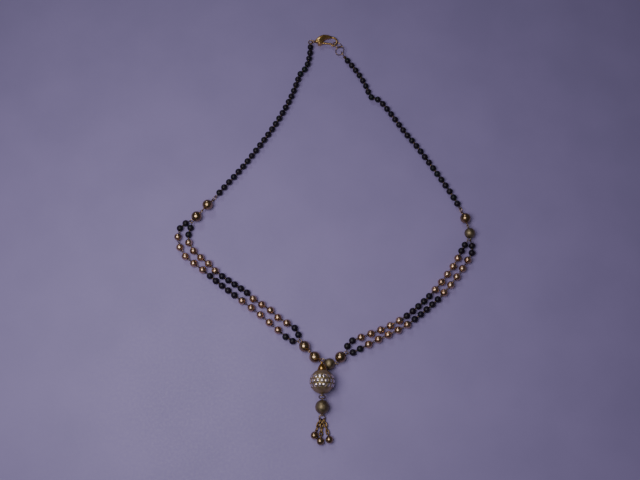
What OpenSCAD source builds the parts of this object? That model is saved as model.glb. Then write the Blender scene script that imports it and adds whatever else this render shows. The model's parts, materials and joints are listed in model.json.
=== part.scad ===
// Mangalsutra, a wedding necklace of black and gold beads with a stone-set pendant ball.
// It lies flat on a surface: X to the right, Y towards the clasp, Z up, surface at Z = 0.

/* [Beads] */
// Diameter of a black glass bead
black_d = 3.1; // [2.8:0.1:3.3]
// Diameter of a small gold ball between the black beads
gold_d = 3.5; // [3.1:0.1:3.8]
// Width of the hole through a bead
bead_hole = 0.7; // [0.6:0.05:0.9]
// Thickness of the wire that carries the beads
bead_wire = 0.3; // [0.25:0.05:0.4]
// Share of the spare length between two black beads
black_gap = 0.6; // [0.4:0.1:0.8]
// Share of the spare length between two small gold balls
gold_gap = 1.8; // [1.2:0.1:2.2]
// Share of the spare length between a black and a gold one
mixed_gap = 1.2; // [0.8:0.1:1.6]
// Black beads on each upper strand
upper_beads = 28; // [26:1:29]

/* [Rings] */
// Wire thickness of the jump rings
ring_wire = 0.45; // [0.35:0.05:0.5]
// Radius to the wire centre of the two large rings below the clasp
large_ring_r = 2.4; // [2.2:0.1:2.6]
// Radius to the wire centre of the ring at the right strand
strand_ring_r = 1.8; // [1.5:0.1:2]
// Radius to the wire centre of the ring at the left end of the clasp
end_ring_r = 1.15; // [1.1:0.05:1.3]
// Radius to the wire centre of the ring at each shoulder
shoulder_ring_r = 1.3; // [1.1:0.1:1.5]
// Radius to the wire centre of the ring above the pendant
centre_ring_r = 1.2; // [1.1:0.05:1.3]
// Radius to the wire centre of the ring below the stone-set ball
pendant_ring_r = 1.35; // [1.2:0.05:1.5]
// Radius to the wire centre of the ring that gathers the tassel
tassel_ring_r = 1.35; // [1.2:0.05:1.5]

/* [Gold balls] */
// Diameter of the eight plain gold balls
ball_d = 5; // [4.6:0.1:5.2]
// Wire thickness of the eyes on the balls
eye_wire = 0.3; // [0.25:0.05:0.35]
// Distance from a shoulder ball to the middle of its eye
shoulder_neck = 1.1; // [0.9:0.1:1.4]
// Distance from a centre ball to the middle of its eye
centre_neck = 0.5; // [0.5:0.05:0.8]
// Radius to the wire centre of an eye that carries two strands
twin_eye_r = 0.8; // [0.75:0.05:1]

/* [Pendant] */
// Diameter of the stone-set ball
pendant_d = 10.5; // [9.5:0.5:11.5]
// Diameter of a stone
stone_d = 1.55; // [1.3:0.05:1.6]
// Distance between the middles of two stones in a row
stone_pitch = 1.88; // [1.85:0.01:2.3]
// Distance between two rows of stones, along the ball
row_pitch = 1.93; // [1.9:0.05:2.2]
// Height of a stone's table above the ball
stone_rise = 0.3; // [0.15:0.05:0.4]
// Radius of the cap's rim
cap_rim_r = 1.95; // [1.6:0.05:2]
// Radius of the cap's neck
cap_neck_r = 0.85; // [0.6:0.05:1]
// Height of the cap above the top of the ball
cap_h = 2.4; // [2.1:0.1:2.7]
// Diameter of the plain ball below
drop_d = 6; // [5.5:0.1:6.4]

/* [Tassel] */
// Outer length of a chain link
link_l = 2.4; // [2.2:0.1:2.6]
// Outer width of a chain link
link_w = 1.6; // [1.5:0.05:1.7]
// Wire thickness of a chain link
link_wire = 0.33; // [0.28:0.01:0.36]
// Diameter of the ball at the end of each chain
tip_d = 3.3; // [2.8:0.1:3.5]
// Links in the left chain of the tassel
left_links = 3; // [2:1:4]
// Links in the middle chain of the tassel
middle_links = 4; // [3:1:5]
// Links in the right chain of the tassel
right_links = 4; // [3:1:5]

/* [Clasp] */
// Distance from the tail eye to the middle of the hook
clasp_l = 10; // [9.5:0.25:11]
// Outer radius of the hook
hook_r = 3.1; // [2.9:0.1:3.2]
// Width of the hook's bar
hook_bar = 0.95; // [0.8:0.05:1]
// Thickness of the hook's bar
hook_t = 0.8; // [0.7:0.05:0.9]
// Thickness of the clasp's body
clasp_t = 2.8; // [2.6:0.1:3]
// Radius of the boss round the lever's pin
boss_r = 1.35; // [1.2:0.05:1.5]
// Diameter of the lever's pin
pin_d = 0.7; // [0.5:0.05:0.8]
// Width of the lever
lever_w = 0.9; // [0.7:0.05:1]
// Thickness of the lever
lever_t = 0.9; // [0.7:0.05:1]
// Radius to the wire centre of the clasp's tail eye
tail_eye_r = 0.8; // [0.75:0.05:0.9]

/* [Fit] */
// Clearance between two pieces that meet
fit = 0.12; // [0.1:0.01:0.15]

/* [Hidden] */

GOLD = [0.85, 0.62, 0.25];
BLACK = [0.05, 0.05, 0.07];
STONE = [0.93, 0.9, 0.92];

// Chosen points that the strands pass, from their upper joint to their lower one
LEFT_UPPER = [
    [-7.5, 94.5], [-8.5, 88], [-10, 84], [-13, 80], [-14, 76.5], [-17.5, 66], [-24, 52.5],
    [-32, 39.5], [-40.5, 27], [-49.5, 15.5], [-52.5, 11.5]
];
RIGHT_UPPER = [
    [15, 85], [19, 78.5], [22, 72], [23, 68.5], [25, 66], [28, 65], [32.5, 59],
    [40, 47], [46, 38.5], [54, 25.5], [61, 13.5], [65, 5.5]
];
LEFT_INNER = [
    [-64.5, -7.5], [-64.5, -11.5], [-62, -16], [-59, -19], [-55, -22], [-50, -27], [-42, -32.5],
    [-36, -36.5], [-33, -39.5], [-24, -45.5], [-20.5, -49], [-13.5, -53.2]
];
LEFT_OUTER = [
    [-68, -3.5], [-69.5, -8], [-68.5, -14], [-65, -19.5], [-56.5, -26], [-50.5, -31], [-44, -36],
    [-38, -40.5], [-29.5, -47], [-21, -54.2], [-15.5, -58.6]
];
RIGHT_INNER = [
    [65, -15], [63, -18.5], [60.5, -23], [54, -31.5], [50.5, -35.5], [45.5, -40.5], [37, -47.5],
    [28.5, -52.5], [18.5, -56.5], [11, -59.5]
];
RIGHT_OUTER = [
    [69.5, -16], [66.5, -21.5], [60.5, -30], [53.5, -38], [47.5, -43.5], [42, -48], [35, -53],
    [25.5, -57.5], [16.5, -62], [11.5, -64.5]
];
// Letters of a lower strand's beads: b is black, g is gold
LOWER_PATTERN = "bbgggggbbbbbgggggbb";

// Where the clasp's tail eye and the ring above the pendant lie
CLASP_AT = [-5.9, 100.9];
CENTRE_AT = [-1.35, -68.1, 4.4];
// Headings of the pieces along the chain, in degrees from +X
LEFT_SHOULDER_TURN = [-128, -129, -132];
RIGHT_SHOULDER_TURN = [-70, -79, -100];
LEFT_CENTRE_TURN = [152, 134, 134];
RIGHT_CENTRE_TURN = [-33, 3, 60, 36];
HOOK_TURN = [-35, -72, -60];
END_TURN = [180, -90];
TASSEL_TURN = [-110, -95, -75];
// Roll of the rings below the clasp about their heading
HOOK_ROLL = [-29, 30, -70];

UP = [0, 0, 1];
RIGHT = [1, 0, 0];
SOLID_FN = 64;
WIRE_SIDES = 6;

black_r = black_d / 2;
gold_r = gold_d / 2;
ball_r = ball_d / 2;
// A strand's own loop passes the thickest wire that it hangs on
loop_r = (bead_wire + ring_wire) / 2 + 1.5 * fit;
end_room = loop_r + bead_wire / 2 + fit;
eye_r = (eye_wire + ring_wire) / 2 + fit;

// Unit vector along v
function unit(v) = v / norm(v);
// Level direction at a heading
function level(turn) = [cos(turn), sin(turn), 0];
// Level direction to the left of a heading
function left_of(turn) = [-sin(turn), cos(turn), 0];
// Distance between the middles of two linked rings pulled straight
function link_step(r1, w1, r2, w2) = r1 + r2 - (w1 + w2) / 2 - fit;
// Normal of a ring that points along a heading and is rolled about it
function rolled(turn, roll) = cos(roll) * UP - sin(roll) * left_of(turn);
// Height of a rolled ring that rests on the surface
function rolled_z(r, w, roll) = r * abs(sin(roll)) + w / 2;
// Part of v that is square to u, as a unit vector
function square_to(v, u) = unit(v - (v * u) * u);

// Smooth curve through the points, a few steps between each two
function spline_at(a, b, c, d, t) =
    let(t2 = t * t, t3 = t * t * t)
    b + (c - a) / 2 * t + (a - 2.5 * b + 2 * c - d / 2) * t2 + (1.5 * b - a / 2 - 1.5 * c + d / 2) * t3;
function curve(pts, steps = 8) =
    let(n = len(pts), e = concat([2 * pts[0] - pts[1]], pts, [2 * pts[n - 1] - pts[n - 2]]))
    concat(
        [
            for (i = [1:n - 1]) for (k = [0:steps - 1])
                spline_at(e[i - 1], e[i], e[i + 1], e[i + 2], k / steps)
        ],
        [pts[n - 1]]
    );
// Distance travelled at each point of a curve
function travel(c, i = 1, out = [0]) =
    i == len(c) ? out : travel(c, i + 1, concat(out, [out[i - 1] + norm(c[i] - c[i - 1])]));
function sum(v, i = 0) = i == len(v) ? 0 : v[i] + sum(v, i + 1);
// Point of a curve at a travelled distance
function point_at(c, run, s) = [
    lookup(s, [for (i = [0:len(c) - 1]) [run[i], c[i].x]]),
    lookup(s, [for (i = [0:len(c) - 1]) [run[i], c[i].y]])
];

// A bead's radius, and the share of spare length between two kinds
function radius_of(kind) = kind == "g" ? gold_r : black_r;
function gap_of(a, b) = a != b ? mixed_gap : a == "g" ? gold_gap : black_gap;
// Beads spread along a route that runs from joint to joint: [middle, direction, radius, kind] each
function bead_row(pattern, route) =
    let(
        c = curve([for (p = route) [p.x, p.y]]),
        run = travel(c),
        n = len(pattern),
        radii = [for (k = pattern) radius_of(k)],
        gaps = [for (i = [1:n - 1]) gap_of(pattern[i - 1], pattern[i])],
        share = (run[len(run) - 1] - 2 * end_room - 2 * sum(radii)) / sum(gaps),
        before = travel_beads(radii, gaps * share)
    )
    [
        for (i = [0:n - 1])
            let(
                s = end_room + before[i] + radii[i],
                p = point_at(c, run, s),
                u = unit(point_at(c, run, s + radii[i]) - point_at(c, run, s - radii[i]))
            )
            [[p.x, p.y, radii[i]], [u.x, u.y, 0], radii[i], pattern[i]]
    ];
// Length taken up before each bead
function travel_beads(radii, gaps, i = 0, s = 0, out = []) =
    i == len(radii) ? out
    : travel_beads(radii, gaps, i + 1, s + 2 * radii[i] + (i < len(gaps) ? gaps[i] : 0), concat(out, [s]));

// Side vectors carried along a path without twist
function carried(t, i = 1, out = []) =
    len(out) == 0 ? carried(t, 1, [unit(cross(abs(t[0].z) > 0.9 ? RIGHT : UP, t[0]))])
    : i == len(t) ? out
    : carried(t, i + 1, concat(out, [square_to(out[i - 1], t[i])]));

// Wire swept along a path of points: open, or a flat closed loop where its normal is given
module wire(path, d, normal = [0, 0, 0]) {
    n = len(path);
    closed = norm(normal) > 0;
    t = [
        for (i = [0:n - 1])
            closed ? unit(path[(i + 1) % n] - path[(i + n - 1) % n])
            : unit(path[min(i + 1, n - 1)] - path[max(i - 1, 0)])
    ];
    side = closed ? [for (v = t) normal] : carried(t);
    points = [
        for (i = [0:n - 1]) for (k = [0:WIRE_SIDES - 1])
            let(a = 360 * k / WIRE_SIDES)
            path[i] + d / 2 * (cos(a) * side[i] + sin(a) * cross(t[i], side[i]))
    ];
    spans = closed ? n : n - 1;
    walls = [
        for (i = [0:spans - 1]) for (k = [0:WIRE_SIDES - 1])
            let(j = (i + 1) % n, m = (k + 1) % WIRE_SIDES)
            [i * WIRE_SIDES + k, j * WIRE_SIDES + k, j * WIRE_SIDES + m, i * WIRE_SIDES + m]
    ];
    caps = closed ? [] : [
        [for (k = [0:WIRE_SIDES - 1]) k],
        [for (k = [WIRE_SIDES - 1:-1:0]) (n - 1) * WIRE_SIDES + k]
    ];
    polyhedron(points, concat(walls, caps), convexity = 6);
}

// Points of a wire's end loop round middle m, entered along u on the side away from v
function loop_points(m, u, v, turn) = [for (a = [0:30:turn]) m + loop_r * (sin(a) * u - cos(a) * v)];

// Round ring of wire: middle, normal, radius to the wire's centre, wire thickness
module ring(middle, normal, r, d) {
    translate(middle) rotate([0, acos(normal.z), atan2(normal.y, normal.x)])
        rotate_extrude($fn = SOLID_FN) translate([r, 0]) circle(d = d, $fn = 32);
}
// Round rod between two points
module rod(a, b, d) {
    v = b - a;
    translate(a) rotate([0, acos(v.z / norm(v)), atan2(v.y, v.x)])
        cylinder(d = d, h = norm(v), $fn = 32);
}
// Eye of wire on a ball, joined to the ball's middle by its pin: [middle, normal, radius]
module eye(ball, e, d) {
    ring(e[0], e[1], e[2], d);
    rod(ball, e[0] - e[2] * unit(e[0] - ball), d);
}

// Where the pieces of the chain lie, worked out from joint to joint
ball_step = link_step(eye_r, eye_wire, eye_r, eye_wire);
shoulder_reach = ball_r + shoulder_neck;
centre_reach = ball_r + centre_neck;
twin_reach = ball_r + twin_eye_r - eye_wire / 2 + fit / 2;
shoulder_z = shoulder_ring_r + ring_wire / 2;
// Eyes seen as a level ring, and as a ring that stands on edge along the heading
function level_eye(m, r = eye_r) = [m, UP, r];
function upright_eye(m, turn, r = eye_r) = [m, left_of(turn), r];
function at_z(p, z) = [p.x, p.y, z];
// Middle of a ball whose eye lies at a point, at a reach from the ball
function ball_from(e, turn, reach) =
    at_z(e + sqrt(reach * reach - pow(e.z - ball_r, 2)) * level(turn), ball_r);
// Place on a twin eye where one strand hangs, to the left or the right of its heading
TWIN_SPREAD = 50;
function twin_hook(twin, turn, sign) = twin + twin_eye_r * level(turn + sign * TWIN_SPREAD);

// A shoulder, from the upper strand's last loop down: ring, two balls and the twin eye
function shoulder(foot, turns) =
    let(
        to_ring = link_step(loop_r, bead_wire, shoulder_ring_r, ring_wire),
        to_eye = link_step(shoulder_ring_r, ring_wire, eye_r, eye_wire),
        hoop = at_z(foot + to_ring * level(turns[0]), shoulder_z),
        eye_1 = hoop + to_eye * level(turns[0]),
        ball_1 = ball_from(eye_1, turns[0], shoulder_reach),
        eye_2 = ball_1 + shoulder_reach * level(turns[1]),
        eye_3 = eye_2 + ball_step * level(turns[1]),
        ball_2 = eye_3 + shoulder_reach * level(turns[1]),
        twin = ball_2 + twin_reach * level(turns[2])
    )
    [hoop, eye_1, ball_1, eye_2, eye_3, ball_2, twin];
left_foot = at_z(LEFT_UPPER[len(LEFT_UPPER) - 1], black_r);
right_foot = at_z(RIGHT_UPPER[len(RIGHT_UPPER) - 1], black_r);
left_side = shoulder([left_foot.x, left_foot.y, 0], LEFT_SHOULDER_TURN);
right_side = shoulder([right_foot.x, right_foot.y, 0], RIGHT_SHOULDER_TURN);

// The ring above the pendant leans from the cap down to the two centre balls
CENTRE_LEAN = 45;
down = [0, cos(CENTRE_LEAN), -sin(CENTRE_LEAN)];
function centre_ring_point(a) = CENTRE_AT + centre_ring_r * (cos(a) * down - sin(a) * RIGHT);
function centre_ring_along(a) = -sin(a) * down - cos(a) * RIGHT;
// Eye held by the centre ring at an angle, on the wire of a ball
function held_eye(a, ball) =
    [centre_ring_point(a), square_to(centre_ring_along(a), unit(centre_ring_point(a) - ball)), eye_r];

// Where the two centre balls hang on the ring, as angles from its lowest point
LEFT_HOLD = 45;
RIGHT_HOLD = -80;
centre_2 = ball_from(centre_ring_point(LEFT_HOLD), LEFT_CENTRE_TURN[0], centre_reach);
centre_2_eye = centre_2 + centre_reach * level(LEFT_CENTRE_TURN[1]);
centre_1_eye = centre_2_eye + ball_step * level(LEFT_CENTRE_TURN[1]);
centre_1 = centre_1_eye + centre_reach * level(LEFT_CENTRE_TURN[1]);
left_twin = centre_1 + twin_reach * level(LEFT_CENTRE_TURN[2]);

// The right pair meets at an angle, so its eyes are wider
KINK_EYE_R = 0.72;
KINK_NECK = 0.4;
kink_reach = ball_r + KINK_NECK;
kink_hold = 0.55 * KINK_EYE_R;
centre_3 = ball_from(centre_ring_point(RIGHT_HOLD), RIGHT_CENTRE_TURN[0], centre_reach);
centre_3_eye = centre_3 + kink_reach * level(RIGHT_CENTRE_TURN[1]);
kink = centre_3_eye + kink_hold * level(RIGHT_CENTRE_TURN[1]);
centre_4_eye = kink + kink_hold * level(RIGHT_CENTRE_TURN[2]);
centre_4 = centre_4_eye + kink_reach * level(RIGHT_CENTRE_TURN[2]);
right_twin = centre_4 + twin_reach * level(RIGHT_CENTRE_TURN[3]);

// The clasp's own points: tail eye, middle of the hook and lever pin
clasp_z = clasp_t / 2;
tail_at = [CLASP_AT.x, CLASP_AT.y, clasp_z];
hook_at = tail_at + [clasp_l, 0, 0];
hook_mid_r = hook_r - hook_bar / 2;
// The end ring leans from the tail eye down to the surface
END_LEAN = -17;
end_at = at_z(
    tail_at + link_step(tail_eye_r, ring_wire, end_ring_r, ring_wire) * level(END_TURN[0]),
    clasp_z - end_ring_r * sin(-END_LEAN)
);
end_normal = cross([cos(END_LEAN) * cos(END_TURN[0]), 0, sin(END_LEAN)], left_of(END_TURN[0]));
left_head = end_at + link_step(end_ring_r, ring_wire, loop_r, bead_wire) * level(END_TURN[1]);

// Rolled rings lie a little closer than rings pulled straight
ROLL_PULL = 0.9;
HOOK_SLIP = 0.95;
function resting(p, r, roll) = at_z(p, rolled_z(r, ring_wire, roll));
hook_ring_step = hook_mid_r + HOOK_SLIP;
extension_step = ROLL_PULL * link_step(large_ring_r, ring_wire, large_ring_r, ring_wire);
strand_step = ROLL_PULL * link_step(large_ring_r, ring_wire, strand_ring_r, ring_wire);
hook_ring_at = resting(hook_at + hook_ring_step * level(HOOK_TURN[0]), large_ring_r, HOOK_ROLL[0]);
extension_at = resting(hook_ring_at + extension_step * level(HOOK_TURN[1]), large_ring_r, HOOK_ROLL[1]);
strand_ring_at = resting(extension_at + strand_step * level(HOOK_TURN[2]), strand_ring_r, HOOK_ROLL[2]);
right_head = strand_ring_at + link_step(strand_ring_r, ring_wire, loop_r, bead_wire) * level(HOOK_TURN[2]);

// Whole routes of the strands, with the joints that they hang between
function between(twin_1, turn_1, sign, points, twin_2, turn_2) =
    concat([twin_hook(twin_1, turn_1, sign)], points, [twin_hook(twin_2, turn_2, -sign)]);
left_upper_route = concat([left_head], LEFT_UPPER);
right_upper_route = concat([right_head], RIGHT_UPPER);
left_inner_route =
    between(left_side[6], LEFT_SHOULDER_TURN[2], 1, LEFT_INNER, left_twin, LEFT_CENTRE_TURN[2]);
left_outer_route =
    between(left_side[6], LEFT_SHOULDER_TURN[2], -1, LEFT_OUTER, left_twin, LEFT_CENTRE_TURN[2]);
right_inner_route =
    between(right_side[6], RIGHT_SHOULDER_TURN[2], -1, RIGHT_INNER, right_twin, RIGHT_CENTRE_TURN[3]);
right_outer_route =
    between(right_side[6], RIGHT_SHOULDER_TURN[2], 1, RIGHT_OUTER, right_twin, RIGHT_CENTRE_TURN[3]);
UPPER_PATTERN = [for (i = [1:upper_beads]) "b"];
left_upper = bead_row(UPPER_PATTERN, left_upper_route);
right_upper = bead_row(UPPER_PATTERN, right_upper_route);
left_inner = bead_row(LOWER_PATTERN, left_inner_route);
left_outer = bead_row(LOWER_PATTERN, left_outer_route);
right_inner = bead_row(LOWER_PATTERN, right_inner_route);
right_outer = bead_row(LOWER_PATTERN, right_outer_route);

// Beads of one kind on a strand, each drilled along the wire
module beads(row, kind) {
    for (b = row)
        if (b[3] == kind)
            translate(b[0]) difference() {
                sphere(r = b[2], $fn = SOLID_FN);
                rotate([0, 90, atan2(b[1].y, b[1].x)])
                    cylinder(d = bead_hole, h = 3 * b[2], center = true, $fn = 32);
            }
}
// The wire of a strand: straight through each bead, with a loop round the joint at each end
module strand_wire(row, head, head_v, foot, foot_v) {
    n = len(row);
    u_head = unit(at_z(row[0][0] - head, 0));
    u_foot = unit(at_z(foot - row[n - 1][0], 0));
    head_loop = loop_points(head, -u_head, head_v, 270);
    path = concat(
        [for (i = [len(head_loop) - 1:-1:0]) head_loop[i]],
        [for (b = row) each [b[0] - (b[2] + fit / 2) * b[1], b[0] + (b[2] + fit / 2) * b[1]]],
        loop_points(foot, u_foot, foot_v, 270)
    );
    wire(path, bead_wire);
}

// A ball with its two eyes, each [middle, normal, radius]
module eyed_ball(middle, r, eyes) {
    color(GOLD) {
        translate(middle) sphere(r = r, $fn = SOLID_FN);
        for (e = eyes) eye(middle, e, eye_wire);
    }
}

// The pendant's own frame: its axis runs along Y, and the local Z points to the cap
pendant_r = pendant_d / 2;
CAP_EYE_NECK = 0.2;
cap_eye = centre_ring_point(180);
pendant_at = [cap_eye.x, cap_eye.y - eye_r - CAP_EYE_NECK - cap_h - pendant_r, pendant_r + stone_rise];
module on_pendant() {
    translate(pendant_at) rotate([-90, 0, 0]) children();
}
row_angle = row_pitch / pendant_r * 180 / PI;
stones_in_row = floor(2 * PI * pendant_r * cos(row_angle) / stone_pitch);
stone_r = stone_d / 2;
PAVILION_SLOPE = 38;
GIRDLE_H = 0.08;
TABLE_SHARE = 0.58;
// A stone's seat narrows under it, with its mouth just above the ball's surface
SEAT_LIFT = 0.02;
seat_r = stone_r + 0.8 * fit;
seat_depth = stone_r * tan(PAVILION_SLOPE) + fit;
seat_floor_r = stone_r / 4;
// Places the children on the ball at each stone of a row, with Z pointing outwards
module at_stones(row) {
    for (i = [0:stones_in_row - 1])
        rotate((i + row / 2) * 360 / stones_in_row) rotate([0, 90 - row * row_angle, 0])
            translate([0, 0, pendant_r]) children();
}
// Round cut stone with an eight-sided table, crown, girdle and pointed back
module stone() {
    ring_8 = [for (i = [0:7]) [cos(45 * i), sin(45 * i)]];
    points = concat(
        [for (p = ring_8) [TABLE_SHARE * stone_r * p.x, TABLE_SHARE * stone_r * p.y, stone_rise]],
        [for (p = ring_8) [stone_r * p.x, stone_r * p.y, GIRDLE_H]],
        [for (p = ring_8) [stone_r * p.x, stone_r * p.y, 0]],
        [[0, 0, -stone_r * tan(PAVILION_SLOPE)]]
    );
    bands = [
        for (b = [0, 8]) for (i = [0:7])
            let(j = (i + 1) % 8) [b + i, b + j, b + 8 + j, b + 8 + i]
    ];
    back = [for (i = [0:7]) [16 + i, 16 + (i + 1) % 8, 24]];
    polyhedron(points, concat([[7, 6, 5, 4, 3, 2, 1, 0]], bands, back), convexity = 2);
}
module stone_row(row) {
    color(STONE) on_pendant() at_stones(row) stone();
}

// The ring below the ball leans from its foot eye to the eye of the plain ball
FOOT_NECK = 0.5;
FOOT_DROP = 3;
PENDANT_LEAN = 27;
foot_eye = pendant_at + (pendant_r + FOOT_NECK) * [0, -cos(FOOT_DROP), -sin(FOOT_DROP)];
pendant_down = [0, -sin(PENDANT_LEAN), -cos(PENDANT_LEAN)];
pendant_ring_at = foot_eye + pendant_ring_r * pendant_down;
drop_eye = pendant_ring_at + pendant_ring_r * pendant_down;
drop_r = drop_d / 2;
drop_at = [drop_eye.x, drop_eye.y - sqrt(pow(drop_r + FOOT_NECK, 2) - pow(drop_eye.z - drop_r, 2)), drop_r];
// The plain ball's lower eye drops towards the surface
DROP_DROOP = 25;
tassel_eye = drop_at + (drop_r + FOOT_NECK) * [0, -cos(DROP_DROOP), -sin(DROP_DROOP)];
// Chain links lie rolled to one side and the other by turns
LINK_ROLL = [70, -20];
LINK_SIDE = [1, 1, -1];
link_z = (link_w - link_wire) / 2 * sin(LINK_ROLL[0]) + link_wire / 2;
tassel_span = link_step(eye_r, eye_wire, tassel_ring_r, ring_wire);
tassel_lean = asin((tassel_eye.z - link_z) / (tassel_span + tassel_ring_r));
tassel_u = [0, -cos(tassel_lean), -sin(tassel_lean)];
tassel_ring_at = tassel_eye + tassel_span * tassel_u;
// Where each chain hangs on the tassel ring, as an angle from its lowest point
TASSEL_SPREAD = [-46, 0, 46];
function tassel_hook(i) =
    tassel_ring_at + tassel_ring_r * (cos(TASSEL_SPREAD[i]) * tassel_u + sin(TASSEL_SPREAD[i]) * RIGHT);
TASSEL_LINKS = [left_links, middle_links, right_links];
link_pitch = link_l - 2 * link_wire - 1.2 * fit;
FIRST_SLACK = 0.3;
first_link = link_l / 2 - link_wire - FIRST_SLACK - ring_wire / 2;
tip_eye_r = (eye_wire + link_wire) / 2 + 1.5 * fit;
tip_r = tip_d / 2;
TIP_NECK = 0.5;
last_to_eye = link_l / 2 - link_wire - fit - eye_wire / 2 + tip_eye_r;
// The first link slopes from its place on the ring down to the others, and the last one rises to its ball
LAST_RISE = 10;
function first_drop(i) = (tassel_hook(i).z - link_z) / (first_link + link_pitch / 2);
function link_way(i, k) =
    k == 0 ? at_z(sqrt(1 - pow(first_drop(i), 2)) * level(TASSEL_TURN[i]), -first_drop(i))
    : k < TASSEL_LINKS[i] - 1 ? level(TASSEL_TURN[i])
    : at_z(cos(LAST_RISE) * level(TASSEL_TURN[i]), sin(LAST_RISE));
function link_at(i, k) =
    k == 0 ? tassel_hook(i) + first_link * link_way(i, 0)
    : link_at(i, k - 1) + link_pitch / 2 * (link_way(i, k - 1) + link_way(i, k));
// Across a link's opening, for its direction and roll
function link_side(u, roll) = let(left = unit(cross(UP, u))) cos(roll) * left + sin(roll) * cross(u, left);
function link_roll(i, k) = LINK_SIDE[i] * LINK_ROLL[k % 2];
function tip_eye_at(i) = let(k = TASSEL_LINKS[i] - 1) link_at(i, k) + last_to_eye * link_way(i, k);
function tip_at(i) =
    let(e = tip_eye_at(i))
    at_z(e + sqrt(pow(tip_r + TIP_NECK, 2) - pow(tip_r - e.z, 2)) * level(TASSEL_TURN[i]), tip_r);
// Oval link: straight sides and round ends
module link(middle, u, roll) {
    end_r = (link_w - link_wire) / 2;
    half = link_l / 2 - link_wire / 2 - end_r;
    v = link_side(u, roll);
    wire(
        [
            for (a = [-90:36:90]) middle + (half + end_r * cos(a)) * u + end_r * sin(a) * v,
            for (a = [90:36:270]) middle + (end_r * cos(a) - half) * u + end_r * sin(a) * v
        ],
        link_wire, cross(u, v)
    );
}
module tassel_chain(i) {
    color(GOLD) for (k = [0:TASSEL_LINKS[i] - 1])
        link(link_at(i, k), link_way(i, k), link_roll(i, k));
}
module tassel_ball(i) {
    k = TASSEL_LINKS[i] - 1;
    across = link_side(link_way(i, k), link_roll(i, k));
    normal = square_to(across, unit(tip_eye_at(i) - tip_at(i)));
    eyed_ball(tip_at(i), tip_r, [[tip_eye_at(i), normal, tip_eye_r]]);
}

// The clasp in its own frame: tail eye at the origin, hook along X
PIN_AT = [3.6, -0.7];
BACK = [[0.09, 0.2], [0.25, 0.72], [0.4, 1.18], [0.57, 1.38], [0.75, 1.3], [0.9, 1.1], [1, 1]];
BELLY = [[1, 1], [0.8, 0.88], [0.6, 0.63], [0.46, 0.4]];
HOOK_END = -100;
HOOK_ROOT = 95;
LEVER_TIP = -95;
LEVER_OPEN = 25;
hook_inner = hook_r - hook_bar;
knuckle_r = boss_r - 0.25;
lever_end = [clasp_l, 0] + (hook_inner - fit - lever_w / 2) * [cos(LEVER_TIP), sin(LEVER_TIP)];
lever_l = norm(lever_end - PIN_AT);
lever_turn = atan2(lever_end.y - PIN_AT.y, lever_end.x - PIN_AT.x);
function arc(r, from, to, n = 24) =
    [for (i = [0:n]) let(a = from + (to - from) * i / n) [clasp_l + r * cos(a), r * sin(a)]];
module clasp_plate(t) {
    linear_extrude(t, center = true) children();
}
// Room that the lever needs in the body, from shut to open
module lever_room() {
    t = lever_t + 2 * fit;
    cylinder(r = knuckle_r + fit, h = t, center = true, $fn = SOLID_FN);
    for (a = [lever_turn, lever_turn + LEVER_OPEN])
        rotate(a) translate([0, -lever_w / 2 - fit, -t / 2]) cube([lever_l / 2, lever_w + 2 * fit, t]);
}

module clasp_body() {
    color(GOLD) translate(tail_at) {
        clasp_plate(hook_t) polygon(concat(arc(hook_r, HOOK_END, HOOK_ROOT), arc(hook_inner, HOOK_ROOT, HOOK_END)));
        difference() {
            union() {
                clasp_plate(clasp_t) polygon(concat(
                    curve([for (p = BACK) [p.x * clasp_l, p.y * hook_r]]),
                    curve([for (p = BELLY) [p.x * clasp_l, p.y * hook_inner]]),
                    [[PIN_AT.x + boss_r * 0.8, PIN_AT.y], [PIN_AT.x - boss_r * 0.5, PIN_AT.y - boss_r * 0.6]],
                    [[BACK[0].x * clasp_l, -BACK[0].y * hook_r]]
                ));
                translate(PIN_AT) cylinder(r = boss_r, h = clasp_t, center = true, $fn = SOLID_FN);
            }
            translate(PIN_AT) lever_room();
        }
        translate(PIN_AT) cylinder(d = pin_d, h = clasp_t - fit, center = true, $fn = SOLID_FN);
        ring([0, 0, 0], [0, 1, 0], tail_eye_r, ring_wire);
    }
}
module clasp_lever() {
    color(GOLD) translate(tail_at + at_z(PIN_AT, 0)) rotate(lever_turn) difference() {
        union() {
            cylinder(r = knuckle_r, h = lever_t, center = true, $fn = SOLID_FN);
            translate([0, -lever_w / 2, -lever_t / 2]) cube([lever_l, lever_w, lever_t]);
            translate([lever_l, 0, 0]) cylinder(d = lever_w, h = lever_t, center = true, $fn = SOLID_FN);
        }
        cylinder(d = pin_d + 2 * fit, h = 2 * lever_t, center = true, $fn = SOLID_FN);
    }
}
module end_ring() { color(GOLD) ring(end_at, end_normal, end_ring_r, ring_wire); }
module rolled_ring(at, i, r) { color(GOLD) ring(at, rolled(HOOK_TURN[i], HOOK_ROLL[i]), r, ring_wire); }
module hook_ring() { rolled_ring(hook_ring_at, 0, large_ring_r); }
module extension_ring() { rolled_ring(extension_at, 1, large_ring_r); }
module strand_ring() { rolled_ring(strand_ring_at, 2, strand_ring_r); }

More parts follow.
